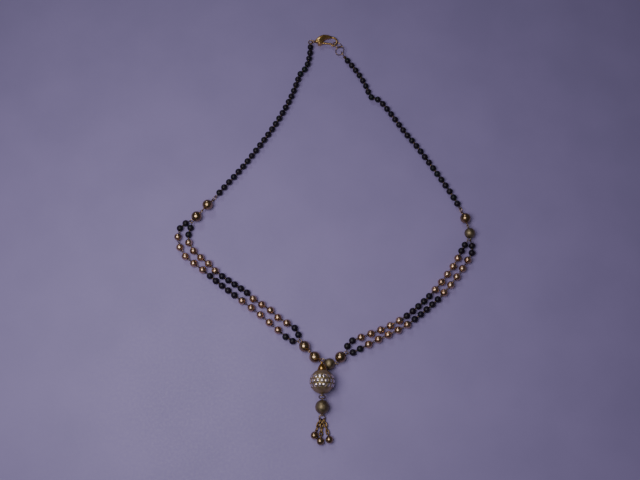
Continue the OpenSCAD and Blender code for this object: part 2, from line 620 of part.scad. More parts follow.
module left_upper_beads() { color(BLACK) beads(left_upper, "b"); }
module left_upper_wire() {
    foot_side = -left_of(LEFT_SHOULDER_TURN[0]);
    color(GOLD) strand_wire(left_upper, left_head, -UP, left_foot, foot_side);
}
module right_upper_beads() { color(BLACK) beads(right_upper, "b"); }
module right_upper_wire() {
    foot_side = left_of(RIGHT_SHOULDER_TURN[0]);
    color(GOLD) strand_wire(right_upper, right_head, left_of(HOOK_TURN[2]), right_foot, foot_side);
}
module shoulder_ring(side, turns) {
    color(GOLD) ring(side[0], left_of(turns[0]), shoulder_ring_r, ring_wire);
}
module shoulder_ball_1(side, turns) {
    tilt = square_to(UP, unit(side[1] - side[2]));
    eyed_ball(side[2], ball_r, [[side[1], tilt, eye_r], upright_eye(side[3], turns[1])]);
}
module shoulder_ball_2(side) {
    eyed_ball(side[5], ball_r, [level_eye(side[4]), level_eye(side[6], twin_eye_r)]);
}
module left_shoulder_ring() { shoulder_ring(left_side, LEFT_SHOULDER_TURN); }
module left_shoulder_ball_1() { shoulder_ball_1(left_side, LEFT_SHOULDER_TURN); }
module left_shoulder_ball_2() { shoulder_ball_2(left_side); }
module right_shoulder_ring() { shoulder_ring(right_side, RIGHT_SHOULDER_TURN); }
module right_shoulder_ball_1() { shoulder_ball_1(right_side, RIGHT_SHOULDER_TURN); }
module right_shoulder_ball_2() { shoulder_ball_2(right_side); }

module black_ones(row) { color(BLACK) beads(row, "b"); }
module gold_ones(row) { color(GOLD) beads(row, "g"); }
module lower_wire(row, route) {
    n = len(route);
    color(GOLD) strand_wire(row, route[0], UP, route[n - 1], UP);
}
module left_inner_black_beads() { black_ones(left_inner); }
module left_inner_gold_beads() { gold_ones(left_inner); }
module left_inner_wire() { lower_wire(left_inner, left_inner_route); }
module left_outer_black_beads() { black_ones(left_outer); }
module left_outer_gold_beads() { gold_ones(left_outer); }
module left_outer_wire() { lower_wire(left_outer, left_outer_route); }
module right_inner_black_beads() { black_ones(right_inner); }
module right_inner_gold_beads() { gold_ones(right_inner); }
module right_inner_wire() { lower_wire(right_inner, right_inner_route); }
module right_outer_black_beads() { black_ones(right_outer); }
module right_outer_gold_beads() { gold_ones(right_outer); }
module right_outer_wire() { lower_wire(right_outer, right_outer_route); }

module centre_ball_1() {
    eyed_ball(centre_1, ball_r, [level_eye(centre_1_eye), level_eye(left_twin, twin_eye_r)]);
}
module centre_ball_2() {
    lower_eye = upright_eye(centre_2_eye, LEFT_CENTRE_TURN[1]);
    eyed_ball(centre_2, ball_r, [held_eye(LEFT_HOLD, centre_2), lower_eye]);
}
module centre_ball_3() {
    lower_eye = upright_eye(centre_3_eye, RIGHT_CENTRE_TURN[1], KINK_EYE_R);
    eyed_ball(centre_3, ball_r, [held_eye(RIGHT_HOLD, centre_3), lower_eye]);
}
module centre_ball_4() {
    eyed_ball(centre_4, ball_r, [level_eye(centre_4_eye, KINK_EYE_R), level_eye(right_twin, twin_eye_r)]);
}
module centre_ring() { color(GOLD) ring(CENTRE_AT, cross(down, RIGHT), centre_ring_r, ring_wire); }

module pendant_cap() {
    CAP_LIP = 0.3;
    top = pendant_r + cap_h;
    rim = sqrt(pow(pendant_r + fit, 2) - cap_rim_r * cap_rim_r);
    shoulder_h = rim + CAP_LIP;
    color(GOLD) on_pendant() difference() {
        rotate_extrude($fn = SOLID_FN) polygon(concat(
            [[0, rim], [cap_rim_r, rim]],
            [for (a = [0:10:90])
                [cap_neck_r + (cap_rim_r - cap_neck_r) * cos(a), shoulder_h + (top - shoulder_h) * sin(a)]],
            [[0, top]]
        ));
        sphere(r = pendant_r + fit, $fn = 2 * SOLID_FN);
    }
    root = pendant_at + [0, top - CAP_LIP, 0];
    color(GOLD) {
        ring(cap_eye, square_to(RIGHT, unit(cap_eye - root)), eye_r, eye_wire);
        rod(root, cap_eye - eye_r * unit(cap_eye - root), 2 * eye_wire);
    }
}
module pendant_ball() {
    color(GOLD) {
        on_pendant() difference() {
            sphere(r = pendant_r, $fn = 2 * SOLID_FN);
            for (row = [-1, 0, 1]) at_stones(row)
                translate([0, 0, -seat_depth])
                    cylinder(r1 = seat_floor_r, r2 = seat_r, h = seat_depth + SEAT_LIFT, $fn = 32);
        }
        eye(pendant_at, [foot_eye, RIGHT, eye_r], eye_wire);
    }
}
module stones_upper() { stone_row(1); }
module stones_middle() { stone_row(0); }
module stones_lower() { stone_row(-1); }
module pendant_ring() {
    color(GOLD) ring(pendant_ring_at, cross(pendant_down, RIGHT), pendant_ring_r, ring_wire);
}
module drop_ball() {
    eyed_ball(drop_at, drop_r, [[drop_eye, RIGHT, eye_r], [tassel_eye, RIGHT, eye_r]]);
}
module tassel_ring() { color(GOLD) ring(tassel_ring_at, cross(RIGHT, tassel_u), tassel_ring_r, ring_wire); }
module tassel_chain_left() { tassel_chain(0); }
module tassel_chain_middle() { tassel_chain(1); }
module tassel_chain_right() { tassel_chain(2); }
module tassel_ball_left() { tassel_ball(0); }
module tassel_ball_middle() { tassel_ball(1); }
module tassel_ball_right() { tassel_ball(2); }

clasp_body();
clasp_lever();
end_ring();
hook_ring();
extension_ring();
strand_ring();
left_upper_beads();
left_upper_wire();
right_upper_beads();
right_upper_wire();
left_shoulder_ring();
left_shoulder_ball_1();
left_shoulder_ball_2();
right_shoulder_ring();
right_shoulder_ball_1();
right_shoulder_ball_2();
left_inner_black_beads();
left_inner_gold_beads();
left_inner_wire();
left_outer_black_beads();
left_outer_gold_beads();
left_outer_wire();
right_inner_black_beads();
right_inner_gold_beads();
right_inner_wire();
right_outer_black_beads();
right_outer_gold_beads();
right_outer_wire();
centre_ball_1();
centre_ball_2();
centre_ball_3();
centre_ball_4();
centre_ring();
pendant_cap();
pendant_ball();
stones_upper();
stones_middle();
stones_lower();
pendant_ring();
drop_ball();
tassel_ring();
tassel_chain_left();
tassel_chain_middle();
tassel_chain_right();
tassel_ball_left();
tassel_ball_middle();
tassel_ball_right();
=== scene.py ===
import json
import math
import random

import bmesh
import bpy
import numpy as np
from mathutils import Matrix, Vector


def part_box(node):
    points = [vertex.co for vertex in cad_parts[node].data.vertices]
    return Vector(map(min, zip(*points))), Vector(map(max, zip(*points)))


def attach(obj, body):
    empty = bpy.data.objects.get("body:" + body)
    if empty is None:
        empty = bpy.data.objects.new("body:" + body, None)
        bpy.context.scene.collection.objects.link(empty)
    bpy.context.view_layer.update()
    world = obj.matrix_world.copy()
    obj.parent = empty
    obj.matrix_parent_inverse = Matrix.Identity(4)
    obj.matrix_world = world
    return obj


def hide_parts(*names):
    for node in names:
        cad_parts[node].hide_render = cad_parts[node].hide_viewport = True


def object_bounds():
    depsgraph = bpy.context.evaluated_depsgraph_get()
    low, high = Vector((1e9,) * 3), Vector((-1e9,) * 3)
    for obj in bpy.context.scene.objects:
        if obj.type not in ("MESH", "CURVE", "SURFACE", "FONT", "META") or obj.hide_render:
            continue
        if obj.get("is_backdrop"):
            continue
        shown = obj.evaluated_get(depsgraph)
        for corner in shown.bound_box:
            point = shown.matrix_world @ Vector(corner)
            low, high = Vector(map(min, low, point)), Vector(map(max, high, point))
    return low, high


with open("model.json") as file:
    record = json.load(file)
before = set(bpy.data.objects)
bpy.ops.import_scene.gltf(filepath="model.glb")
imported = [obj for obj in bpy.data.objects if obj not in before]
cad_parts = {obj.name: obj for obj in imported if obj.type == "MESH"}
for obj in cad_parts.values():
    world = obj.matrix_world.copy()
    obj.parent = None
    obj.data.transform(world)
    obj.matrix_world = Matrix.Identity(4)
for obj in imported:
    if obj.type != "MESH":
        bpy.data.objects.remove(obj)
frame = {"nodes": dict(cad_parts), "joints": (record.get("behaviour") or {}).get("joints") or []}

cad_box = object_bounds()

# Black beads. Round black glass, about 3 mm across, drilled through the middle and
# pinned one after another into chains. Pressed glass is never quite even, so each
# bead is turned on its pin and is a little out of round.
MM = 0.001
BLACK_SIDES = 18
BLACK_RINGS = 9
BLACK_UNEVEN = 0.03
BLACK_BORE = 0.23
MOUTH_WIDER = 1.3
MOUTH_DEEPER = 0.96
NOISE_SPAN = (0.3, 0.7)
BLACK_TINTS = [(0.009, 0.008, 0.022), (0.015, 0.009, 0.019), (0.009, 0.015, 0.019)]
STRANDS = {
    "left_upper": ("end_ring", ["left_upper_beads"]),
    "right_upper": ("strand_ring", ["right_upper_beads"]),
    "left_inner": ("left_shoulder_ball_2", ["left_inner_black_beads", "left_inner_gold_beads"]),
    "left_outer": ("left_shoulder_ball_2", ["left_outer_black_beads", "left_outer_gold_beads"]),
    "right_inner": ("right_shoulder_ball_2", ["right_inner_black_beads", "right_inner_gold_beads"]),
    "right_outer": ("right_shoulder_ball_2", ["right_outer_black_beads", "right_outer_gold_beads"]),
}
chance = random.Random(7)


def solids_of(node):
    """Points of each separate solid of a CAD node, read from a merged copy"""
    bm = bmesh.new()
    bm.from_mesh(frame["nodes"][node].data)
    bmesh.ops.remove_doubles(bm, verts=bm.verts, dist=0.001 * MM)
    seen, found = set(), []
    for start in bm.verts:
        if start in seen:
            continue
        seen.add(start)
        reached, solid = [start], []
        while reached:
            vert = reached.pop()
            solid.append(tuple(vert.co))
            for edge in vert.link_edges:
                other = edge.other_vert(vert)
                if other not in seen:
                    seen.add(other)
                    reached.append(other)
        found.append(np.array(solid))
    bm.free()
    return found


def strand_of(name):
    """Beads of a strand from its head on: middle, radius, direction, and whether it is gold"""
    head, nodes = STRANDS[name]
    lo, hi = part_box(head)
    at, rest, row = (lo + hi) / 2, [], []
    for node in nodes:
        for solid in solids_of(node):
            low, high = solid.min(0), solid.max(0)
            rest.append((Vector((low + high) / 2), float(high[2] - low[2]) / 2, "gold" in node))
    while rest:
        nearest = min(rest, key=lambda bead: (bead[0].xy - at.xy).length)
        rest.remove(nearest)
        row.append(nearest)
        at = nearest[0]
    last = len(row) - 1
    return [
        (middle, radius, (row[min(i + 1, last)][0] - row[max(i - 1, 0)][0]).normalized(), gold)
        for i, (middle, radius, gold) in enumerate(row)
    ]


def drilled_bead(name, sides, rings, bore):
    """Bead of radius 1, drilled along X, with its glass or metal drawn in round the hole"""
    bm = bmesh.new()
    start = math.asin(MOUTH_WIDER * bore)
    arc = [start + (math.pi - 2 * start) * i / rings for i in range(rings + 1)]
    outline = [bm.verts.new((math.cos(a), math.sin(a), 0)) for a in arc]
    for side in (-1, 1):
        outline.append(bm.verts.new((side * math.cos(start) * MOUTH_DEEPER, bore, 0)))
    for a, b in zip(outline, outline[1:] + outline[:1]):
        bm.edges.new((a, b))
    bmesh.ops.spin(bm, geom=bm.verts[:] + bm.edges[:], cent=(0, 0, 0), axis=(1, 0, 0),
                   angle=math.tau, steps=sides, use_merge=True)
    bmesh.ops.remove_doubles(bm, verts=bm.verts, dist=0.0001)
    bmesh.ops.recalc_face_normals(bm, faces=bm.faces)
    return kept_mesh(name, bm)


def kept_mesh(name, bm, sharp=50):
    """Smooth mesh with its edges sharper than an angle kept crisp"""
    for face in bm.faces:
        face.smooth = True
    for edge in bm.edges:
        edge.smooth = edge.calc_face_angle(0) < math.radians(sharp)
    mesh = bpy.data.meshes.new(name)
    bm.to_mesh(mesh)
    bm.free()
    return mesh


def placed(bm, pattern, matrix):
    """Adds a pattern mesh at a place"""
    copy = pattern.copy()
    copy.transform(matrix)
    bm.from_mesh(copy)
    bpy.data.meshes.remove(copy)


def on_axis(middle, direction, size, roll=0.0):
    """Place with X along a direction, turned about it, at a size or at three sizes"""
    sizes = size if isinstance(size, tuple) else (size, size, size)
    turn = direction.to_track_quat("X", "Z").to_matrix().to_4x4() @ Matrix.Rotation(roll, 4, "X")
    return Matrix.Translation(middle) @ turn @ Matrix.Diagonal((*sizes, 1))


def shown(name, mesh, material):
    """New object at the origin with its finish"""
    mesh.materials.append(material)
    obj = bpy.data.objects.new(name, mesh)
    bpy.context.scene.collection.objects.link(obj)
    return obj


def noise(nodes, links, scale, detail=2.0):
    """Noise over the object, with its scale in patches to the metre"""
    place = nodes.new("ShaderNodeTexCoord")
    patches = nodes.new("ShaderNodeTexNoise")
    patches.inputs["Scale"].default_value = scale
    patches.inputs["Detail"].default_value = detail
    links.new(place.outputs["Object"], patches.inputs["Vector"])
    return patches.outputs["Fac"]


def finish(name, tints, patches, rough, rubs, dents=0, depth=0, metal=1.0, spread=NOISE_SPAN,
           detail=2.0):
    """New material and its surface's inputs

    Its tints lie in patches, and its roughness wanders between two values where it is rubbed.
    Its dents have a depth in metres. Patches, rubs and dents are so many to the metre.
    """
    material = bpy.data.materials.new(name)
    material.use_nodes = True
    nodes, links = material.node_tree.nodes, material.node_tree.links
    inputs = nodes["Principled BSDF"].inputs
    inputs["Metallic"].default_value = metal
    ramp = nodes.new("ShaderNodeValToRGB")
    stops = ramp.color_ramp.elements
    while len(stops) < len(tints):
        stops.new(0.5)
    for i, (stop, tint) in enumerate(zip(stops, tints)):
        stop.position = spread[0] + (spread[1] - spread[0]) * i / (len(tints) - 1)
        stop.color = (*tint, 1)
    links.new(noise(nodes, links, patches, detail), ramp.inputs["Fac"])
    links.new(ramp.outputs["Color"], inputs["Base Color"])
    wander = nodes.new("ShaderNodeMapRange")
    for key, value in zip(("From Min", "From Max", "To Min", "To Max"), (*NOISE_SPAN, *rough)):
        wander.inputs[key].default_value = value
    links.new(noise(nodes, links, rubs), wander.inputs["Value"])
    links.new(wander.outputs["Result"], inputs["Roughness"])
    if dents:
        bump = nodes.new("ShaderNodeBump")
        bump.inputs["Strength"].default_value = 1.0
        bump.inputs["Distance"].default_value = depth
        links.new(noise(nodes, links, dents), bump.inputs["Height"])
        links.new(bump.outputs["Normal"], inputs["Normal"])
    return material, inputs


black_glass, inputs = finish("black_glass", BLACK_TINTS, patches=160, rough=(0.30, 0.46), rubs=700,
                             dents=900, depth=0.04 * MM, metal=0)
inputs["IOR"].default_value = 1.52
inputs["Specular IOR Level"].default_value = 0.28

strands = {name: strand_of(name) for name in STRANDS}
black_bead = drilled_bead("black_bead", BLACK_SIDES, BLACK_RINGS, BLACK_BORE)
for name, row in strands.items():
    bm = bmesh.new()
    for middle, radius, direction, gold in row:
        if not gold:
            size = tuple(radius * chance.uniform(1 - BLACK_UNEVEN, 1) for _ in range(3))
            placed(bm, black_bead, on_axis(middle, direction, size, chance.uniform(0, math.tau)))
    glass = shown(f"{name}_black_glass", kept_mesh(f"{name}_black_glass", bm), black_glass)
    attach(glass, "necklace")
    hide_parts(*[node for node in STRANDS[name][1] if "gold" not in node])

# Small gold balls. Hollow balls of thin sheet, 3.5 mm across, pressed in two halves and
# plated, with the rim of each half drawn in at the hole where the pin comes out.
GOLD_SIDES = 22
GOLD_RINGS = 11
GOLD_BORE = 0.2
PLATE_TINTS = [(0.38, 0.215, 0.14), (0.59, 0.38, 0.25), (0.78, 0.55, 0.39)]
LACQUER = 0.6
LACQUER_ROUGH = 0.16


def lacquered(inputs, weight=LACQUER, rough=LACQUER_ROUGH):
    """Clear coat over a finish"""
    inputs["Coat Weight"].default_value = weight
    inputs["Coat Roughness"].default_value = rough


plate, inputs = finish("gold_plate", PLATE_TINTS, patches=420, rough=(0.22, 0.36), rubs=1500,
                       dents=800, depth=0.10 * MM)
lacquered(inputs)

gold_bead = drilled_bead("gold_bead", GOLD_SIDES, GOLD_RINGS, GOLD_BORE)
for name, row in strands.items():
    if any(gold for *_, gold in row):
        bm = bmesh.new()
        for middle, radius, direction, gold in row:
            if gold:
                roll = chance.uniform(0, math.tau)
                placed(bm, gold_bead, on_axis(middle, direction, radius, roll))
        balls = shown(f"{name}_gold_balls", kept_mesh(f"{name}_gold_balls", bm), plate)
        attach(balls, "necklace")
        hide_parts(f"{name}_gold_beads")

# Pins of the strands. Each bead turns on a pin of gold-plated wire, whose ends are bent
# into eyes and linked into the next bead's eyes. The first and the last eye of a strand
# are larger and pass round the ring or eye that the strand hangs on.
PIN_WIRE = 0.24 * MM
EYE_SINK = 0.13 * MM
EYE_LEAST = 0.27 * MM
EYE_LEAN = 25
END_FROM = 0.6
END_CLEAR = 0.09 * MM
END_SEGMENTS = (20, 8)
PIN_SEGMENTS = (12, 6)
WIRE_TINTS = [(0.11, 0.078, 0.045), (0.25, 0.175, 0.095)]

wire_finish, _ = finish("gold_wire", WIRE_TINTS, patches=500, rough=(0.25, 0.42), rubs=1200,
                        dents=2500, depth=0.02 * MM)


def hoop(bm, middle, normal, radius, wire, steps, sides, opening=0.0, turned=0.0):
    """Ring of round wire about a normal, turned about it, and closed or open by some degrees"""
    ring = bmesh.new()
    bmesh.ops.create_circle(ring, segments=sides, radius=wire / 2, cap_ends=opening > 0)
    upright = Matrix.Translation((radius, 0, 0)) @ Matrix.Rotation(math.pi / 2, 4, "X")
    bmesh.ops.transform(ring, matrix=upright, verts=ring.verts)
    bmesh.ops.spin(ring, geom=ring.verts[:] + ring.edges[:] + ring.faces[:], cent=(0, 0, 0),
                   axis=(0, 0, 1), angle=math.tau - math.radians(opening), steps=steps,
                   use_merge=opening == 0)
    bmesh.ops.remove_doubles(ring, verts=ring.verts, dist=0.0001 * MM)
    bmesh.ops.recalc_face_normals(ring, faces=ring.faces)
    mesh = kept_mesh("hoop", ring)
    turn = normal.to_track_quat("Z", "Y").to_matrix().to_4x4() @ Matrix.Rotation(turned, 4, "Z")
    placed(bm, mesh, Matrix.Translation(middle) @ turn)
    bpy.data.meshes.remove(mesh)


def rod(bm, a, b, wire, sides):
    """Straight round wire between two points"""
    made = bmesh.ops.create_cone(bm, cap_ends=True, segments=sides, radius1=wire / 2,
                                 radius2=wire / 2, depth=(b - a).length)
    turn = (b - a).to_track_quat("Z", "Y").to_matrix().to_4x4()
    bmesh.ops.transform(bm, matrix=Matrix.Translation((a + b) / 2) @ turn, verts=made["verts"])


def lie_of_ring(points):
    """Middle, normal, radius to the wire's centre and wire thickness of a ring of wire"""
    middle = (points.min(0) + points.max(0)) / 2
    normal = np.linalg.svd(points - points.mean(0), full_matrices=False)[2][2]
    across = (points - middle) @ normal
    wire = float(across.max() - across.min())
    level = np.linalg.norm((points - middle) - np.outer(across, normal), axis=1)
    return Vector(middle), Vector(normal), float(level.max()) - wire / 2, wire


def lie_of_eye(points, root):
    """The same of an eye that is seen only in part, from the place that it grows from"""
    normal = np.linalg.svd(points - points.mean(0), full_matrices=False)[2][2]
    away = points.mean(0) - root
    away = away - (away @ normal) * normal
    away = away / np.linalg.norm(away)
    aside = np.cross(normal, away)
    wire = float(np.ptp((points - root) @ normal))
    outer = float(np.abs((points - root) @ aside).max())
    reach = float(((points - root) @ away).max()) - outer
    return Vector(root + reach * away), Vector(normal), outer - wire / 2, wire


def round_middle(points):
    """Middle of the sphere that fits points best"""
    rows = np.c_[2 * points, np.ones(len(points))]
    return np.linalg.lstsq(rows, (points ** 2).sum(1), rcond=None)[0][:3]


def end_eye(points, bead, out):
    """Eye at a strand's end: the wire's points that lie beyond the bead"""
    middle, radius = bead[0], bead[1]
    off = points - np.array(middle)
    outside = np.linalg.norm(off, axis=1) > radius + END_CLEAR
    seen = points[(off @ np.array(out) > END_FROM * radius) & outside]
    normal = np.linalg.svd(seen - seen.mean(0), full_matrices=False)[2][2]
    centre = round_middle(seen)
    wire = float(np.ptp((seen - centre) @ normal))
    outer = float(np.linalg.norm(seen - centre, axis=1).max())
    return Vector(centre), Vector(normal), outer - wire / 2, wire


for name, row in strands.items():
    bm = bmesh.new()
    points = solids_of(f"{name}_wire")[0]
    for bead, out in ((row[0], -row[0][2]), (row[-1], row[-1][2])):
        middle, normal, radius, wire = end_eye(points, bead, out)
        hoop(bm, middle, normal, radius, wire, *END_SEGMENTS)
        near = middle + (bead[0] - middle).normalized() * radius
        rod(bm, bead[0], near, wire, END_SEGMENTS[1])
    for i, (bead, after) in enumerate(zip(row, row[1:])):
        along = (after[0] - bead[0]).normalized()
        gap = (after[0] - bead[0]).length - bead[1] - after[1]
        half = bead[0] + along * (bead[1] + gap / 2)
        radius = max(gap / 4 + EYE_SINK / 2, EYE_LEAST)
        apart = radius - PIN_WIRE / 2
        up = Vector((0, 0, 1))
        aside = along.cross(up).normalized()
        lean = math.radians(chance.uniform(-EYE_LEAN, EYE_LEAN))
        first = (up * math.cos(lean) + aside * math.sin(lean)).normalized()
        second = along.cross(first).normalized()
        hoop(bm, half - along * apart, first, radius, PIN_WIRE, *PIN_SEGMENTS)
        hoop(bm, half + along * apart, second, radius, PIN_WIRE, *PIN_SEGMENTS)
        rod(bm, bead[0], half - along * (apart + radius), PIN_WIRE, PIN_SEGMENTS[1])
        rod(bm, after[0], half + along * (apart + radius), PIN_WIRE, PIN_SEGMENTS[1])
    pins = shown(f"{name}_pins", kept_mesh(f"{name}_pins", bm), wire_finish)
    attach(pins, "necklace")
    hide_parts(f"{name}_wire")

# Plain gold balls, 5 mm across at the shoulders and above the pendant, 6 mm below it and
# 3.3 mm at the tassel. Each is a hollow plated ball on a thicker pin, with a small collar
# where the pin comes out and turns of wire wound round its neck below the eye.
BALL_TINTS = [(0.22, 0.140, 0.070), (0.37, 0.245, 0.13), (0.51, 0.36, 0.21)]
# Darker tints for the balls that look darkest: painted shade.
SHADED_BALL_TINTS = [(0.18, 0.145, 0.090), (0.29, 0.235, 0.15), (0.42, 0.335, 0.22)]
BALL_R, DROP_R, TIP_R = 2.5 * MM, 3.0 * MM, 1.65 * MM
LOW_PART = 0.25
OFF_BALL = 0.05 * MM
FEW_POINTS = 20
COLLAR_R = 0.31 * MM
COLLAR_WIRE = 0.2 * MM
COLLAR_SUNK = 0.04 * MM
NECK_LEAST = 0.3 * MM
NECK_TURNS = (0.3, 0.62)
TURN_R, TURN_WIRE = 0.75, 0.7
EYE_SEGMENTS = (24, 10)
COLLAR_SEGMENTS = (20, 8)
TURN_SEGMENTS = (16, 8)
PLAIN_BALLS = [
    "left_shoulder_ball_1", "left_shoulder_ball_2",
    "right_shoulder_ball_1", "right_shoulder_ball_2",
    "centre_ball_1", "centre_ball_2", "centre_ball_3", "centre_ball_4", "drop_ball",
]
TIP_BALLS = ["tassel_ball_left", "tassel_ball_middle", "tassel_ball_right"]

ball_finish, inputs = finish("gold_ball", BALL_TINTS, patches=380, rough=(0.18, 0.36), rubs=900,
                             dents=520, depth=0.16 * MM)
lacquered(inputs)

# A darker copy of the gold, which is painted shade, with a rougher, duller gloss, for the three
# balls that look darkest.
SHADED_BALLS = ["right_shoulder_ball_2", "centre_ball_3", "drop_ball"]
shaded_ball_finish, _ = finish("shaded_gold", SHADED_BALL_TINTS, patches=420, rough=(0.42, 0.60), rubs=900,
                        dents=700, depth=0.14 * MM)


def eyed_ball(node, radius):
    """A ball on its pin: sphere, and for each eye a collar, a wound neck and the eye"""
    points = solids_of(node)[0]
    middle = round_middle(points[points[:, 2] < LOW_PART * radius])
    middle[2] = radius
    off = points - middle
    far = np.linalg.norm(off, axis=1) > radius + OFF_BALL
    bm = bmesh.new()
    bmesh.ops.create_uvsphere(bm, u_segments=40, v_segments=20, radius=radius)
    bmesh.ops.translate(bm, verts=bm.verts, vec=middle)
    left = off[far]
    while len(left) > FEW_POINTS:
        side = left @ left[0] > 0
        eye, normal, size, wire = lie_of_eye(middle + left[side], middle)
        left = left[~side]
        root = Vector(middle)
        out = (eye - root).normalized()
        collar_at = root + out * (radius - COLLAR_SUNK)
        hoop(bm, collar_at, out, COLLAR_R, COLLAR_WIRE, *COLLAR_SEGMENTS)
        hoop(bm, eye, normal, size, wire, *EYE_SEGMENTS)
        rod(bm, root, eye - out * size, wire, EYE_SEGMENTS[1])
        neck = (eye - root).length - size - radius
        if neck > NECK_LEAST:
            for turn in NECK_TURNS:
                at = root + out * (radius + neck * turn)
                hoop(bm, at, out, wire * TURN_R, wire * TURN_WIRE, *TURN_SEGMENTS)
    return bm


for node in PLAIN_BALLS + TIP_BALLS:
    radius = TIP_R if node in TIP_BALLS else DROP_R if node == "drop_ball" else BALL_R
    # The darkest-looking balls take the darker gold, which is painted shade.
    plated = shaded_ball_finish if node in SHADED_BALLS else ball_finish
    ball = shown(f"{node}_on_pin", kept_mesh(node, eyed_ball(node, radius)), plated)
    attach(ball, "necklace")
    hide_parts(node)

# Jump rings. Round gold-plated wire, cut and bent shut, so that each has a fine gap
# where its two ends meet. They join the clasp, the strands, the balls and the tassel.
RING_NODES = {
    "end_ring": 40, "hook_ring": 150, "extension_ring": 220, "strand_ring": 300,
    "left_shoulder_ring": 30, "right_shoulder_ring": 200, "centre_ring": 90, "pendant_ring": 10,
    "tassel_ring": 160,
}
RING_GAP = 3.0
RING_SEGMENTS = (40, 12)

for node, turned in RING_NODES.items():
    middle, normal, radius, wire = lie_of_ring(solids_of(node)[0])
    bm = bmesh.new()
    hoop(bm, middle, normal, radius, wire, *RING_SEGMENTS, opening=RING_GAP,
         turned=math.radians(turned))
    ring = shown(f"{node}_wire", kept_mesh(node, bm), ball_finish)
    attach(ring, "necklace")
    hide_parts(node)

# Cap of the pendant. A small dome of plated sheet that hugs the top of the stone-set
# ball, with a grooved rim and a neck that ends in the eye on the ring above.
cap_points = solids_of("pendant_cap")[0]
ball_lo, ball_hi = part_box("pendant_ball")
PENDANT_R = 5.25 * MM
pendant = Vector((0, 0, 0))
pendant.x = (ball_lo.x + ball_hi.x) / 2
pendant.y = ball_hi.y - PENDANT_R
pendant.z = (ball_lo.z + ball_hi.z) / 2
# Outline of the cap from its rim up: distance from the axis and height above the ball's middle, mm
CAP_OUTLINE = [
    (1.80, 4.94), (1.98, 4.98), (2.03, 5.10), (1.96, 5.22), (1.86, 5.28), (1.90, 5.40),
    (1.87, 5.66), (1.77, 5.96), (1.61, 6.28), (1.41, 6.60), (1.21, 6.92), (1.04, 7.20),
    (0.94, 7.40), (0.87, 7.56), (0.62, 7.65), (0.30, 7.65),
]
CAP_TINTS = [(0.26, 0.13, 0.030), (0.46, 0.25, 0.06), (0.62, 0.38, 0.12)]
CAP_TOP, EYE_FROM = 7.4 * MM, 7.75 * MM
CAP_SIDES, CAP_SHARP = 48, 70
CAP_NECK_WIDER, CAP_NECK_SIDES = 2, 12

bm = bmesh.new()
verts = [bm.verts.new((r * MM, 0, h * MM)) for r, h in CAP_OUTLINE]
for a, b in zip(verts, verts[1:]):
    bm.edges.new((a, b))
bmesh.ops.spin(bm, geom=bm.verts[:] + bm.edges[:], cent=(0, 0, 0), axis=(0, 0, 1),
               angle=math.tau, steps=CAP_SIDES, use_merge=True)
bmesh.ops.remove_doubles(bm, verts=bm.verts, dist=0.0005 * MM)
bmesh.ops.holes_fill(bm, edges=[edge for edge in bm.edges if edge.is_boundary], sides=0)
bmesh.ops.recalc_face_normals(bm, faces=bm.faces)
dome = kept_mesh("dome", bm)
bm = bmesh.new()
upright = Matrix.Translation(pendant) @ Matrix.Rotation(-math.pi / 2, 4, "X")
placed(bm, dome, upright)
top = np.array(pendant) + np.array([0, CAP_TOP, 0])
above = cap_points[cap_points[:, 1] > pendant.y + EYE_FROM]
eye, normal, size, wire = lie_of_eye(above, top)
hoop(bm, eye, normal, size, wire, *EYE_SEGMENTS)
neck_top = eye - (eye - Vector(top)).normalized() * size
rod(bm, Vector(top), neck_top, CAP_NECK_WIDER * wire, CAP_NECK_SIDES)

cap_finish, _ = finish("gold_cap", CAP_TINTS, patches=450, rough=(0.14, 0.28), rubs=1500,
                       dents=900, depth=0.06 * MM)
cap = shown("pendant_cap_dome", kept_mesh("pendant_cap_dome", bm, CAP_SHARP), cap_finish)
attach(cap, "necklace")
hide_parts("pendant_cap")

# Stone-set ball. A cast ball, 10.5 mm across, with three rows of round seats about its
# middle. Each seat has a thin bright rim, and small grains of metal raised between the
# rows hold the stones. An eye grows from its foot.
STONE_ROWS = ["stones_upper", "stones_middle", "stones_lower"]
STONE_R = 0.775 * MM
RIM_WIRE = 0.17 * MM
GRAIN_R = 0.2 * MM
GRAIN_OUT = 0.02 * MM
BORDER = 0.22
FOOT_R, FOOT_WIRE, FOOT_SUNK = 0.5 * MM, 0.24 * MM, 0.03 * MM
RIM_SEGMENTS = (20, 6)
SET_TINTS = [(0.28, 0.22, 0.12), (0.42, 0.33, 0.19), (0.56, 0.44, 0.27)]

stone_places = {
    row: [Vector(solid.mean(0)) - pendant for solid in solids_of(row)] for row in STONE_ROWS
}
bm = bmesh.new()
bmesh.ops.create_uvsphere(bm, u_segments=72, v_segments=36, radius=PENDANT_R)
bmesh.ops.transform(bm, matrix=upright, verts=bm.verts)
for way in (place.normalized() for row in STONE_ROWS for place in stone_places[row]):
    hoop(bm, pendant + way * PENDANT_R, way, STONE_R + RIM_WIRE / 2, RIM_WIRE, *RIM_SEGMENTS)
upper, central, lower = (
    [place.normalized() for place in stone_places[row]] for row in STONE_ROWS
)
spots = []
for near, beside in ((upper, central), (lower, central), (central, upper), (central, lower)):
    for way in near:
        one, two = sorted(beside, key=lambda other: (other - way).length)[:2]
        spots.append(way + one + two)
for row, side in ((upper, 1), (lower, -1)):
    ring = sorted(row, key=lambda way: math.atan2(way.z, way.x))
    border = Vector((0, BORDER * side, 0))
    spots += [one + two + border for one, two in zip(ring, ring[1:] + ring[:1])]
for spot in spots:
    made = bmesh.ops.create_icosphere(bm, subdivisions=1, radius=GRAIN_R)
    at = pendant + spot.normalized() * (PENDANT_R + GRAIN_OUT)
    bmesh.ops.translate(bm, verts=made["verts"], vec=at)
foot_points = solids_of("pendant_ball")[0]
foot = foot_points[foot_points[:, 1] < pendant.y - PENDANT_R - FOOT_SUNK]
eye, normal, size, wire = lie_of_eye(foot, np.array(pendant))
hoop(bm, eye, normal, size, wire, *EYE_SEGMENTS)
out = (eye - pendant).normalized()
